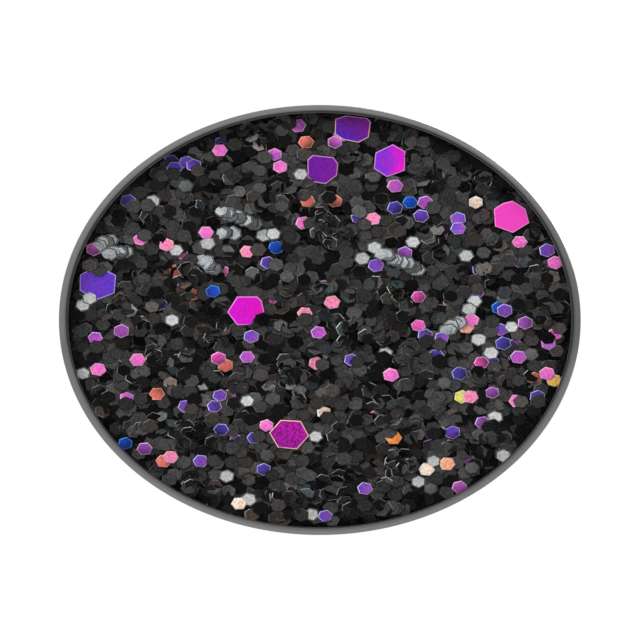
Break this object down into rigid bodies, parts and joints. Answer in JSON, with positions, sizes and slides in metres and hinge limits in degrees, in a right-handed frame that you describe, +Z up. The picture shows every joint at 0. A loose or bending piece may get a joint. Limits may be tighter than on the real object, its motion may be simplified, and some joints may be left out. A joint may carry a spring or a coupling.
{
  "type": "glitter enamel pin",
  "caption": "Oval pin with a black metal rim round a recessed face of black hexagonal glitter under clear resin, held to cloth by posts and butterfly clutches.",
  "frame": {"origin": "centre of the tray's flat back, where it bears on the cloth", "axes": "+X along the oval's long axis, to the wearer's left and the viewer's right; +Z up as worn; +Y back into the cloth, along the posts"},
  "size_m": [0.0382, 0.013, 0.0314],
  "materials": {
    "black_satin": "satin black plating",
    "black_enamel": "gloss enamel",
    "black_glitter": "hexagonal glitter in resin",
    "clear_resin": "clear gloss",
    "violet_foil": "iridescent foil",
    "magenta_foil": "iridescent foil",
    "purple_foil": "iridescent foil",
    "pink_foil": "iridescent foil",
    "nickel": "bright nickel plate"
  },
  "bodies": {
    "pin": {"tray": "black_satin", "base_coat": "black_enamel", "glitter_bed": "black_glitter", "clear_resin": "clear_resin", "flake_violet_left": "violet_foil", "flake_magenta_centre": "magenta_foil", "flake_magenta_low": "magenta_foil", "flake_purple_upper": "purple_foil", "flake_purple_top": "purple_foil", "flake_violet_upper_right": "violet_foil", "flake_pink_right": "pink_foil", "left_post": "nickel", "right_post": "nickel"},
    "left_clutch": {"left_clutch_cup": "nickel", "left_clutch_cover": "nickel", "left_clutch_bow": "nickel"},
    "left_leaf_a": {"left_clutch_leaf_a": "nickel"},
    "left_leaf_b": {"left_clutch_leaf_b": "nickel"},
    "right_clutch": {"right_clutch_cup": "nickel", "right_clutch_cover": "nickel", "right_clutch_bow": "nickel"},
    "right_leaf_a": {"right_clutch_leaf_a": "nickel"},
    "right_leaf_b": {"right_clutch_leaf_b": "nickel"}
  },
  "joints": [
    {"name": "left_clutch_slide", "type": "slide", "parent": "pin", "child": "left_clutch", "axis": [0, 1, 0], "range_m": [-0.0043, 0.008]},
    {"name": "left_leaf_a_pinch", "type": "slide", "parent": "left_clutch", "child": "left_leaf_a", "axis": [-1, 0, 0], "range_m": [0, 0.00045], "stiffness_N_per_m": 500, "springref_m": -0.0005},
    {"name": "left_leaf_b_pinch", "type": "slide", "parent": "left_clutch", "child": "left_leaf_b", "axis": [1, 0, 0], "range_m": [0, 0.00045]},
    {"name": "right_clutch_slide", "type": "slide", "parent": "pin", "child": "right_clutch", "axis": [0, 1, 0], "range_m": [-0.0043, 0.008]},
    {"name": "right_leaf_a_pinch", "type": "slide", "parent": "right_clutch", "child": "right_leaf_a", "axis": [-1, 0, 0], "range_m": [0, 0.00045], "stiffness_N_per_m": 500, "springref_m": -0.0005},
    {"name": "right_leaf_b_pinch", "type": "slide", "parent": "right_clutch", "child": "right_leaf_b", "axis": [1, 0, 0], "range_m": [0, 0.00045]}
  ],
  "couplings": [
    {"joint": "left_leaf_b_pinch", "follows": "left_leaf_a_pinch", "ratio": 1},
    {"joint": "right_leaf_b_pinch", "follows": "right_leaf_a_pinch", "ratio": 1}
  ]
}
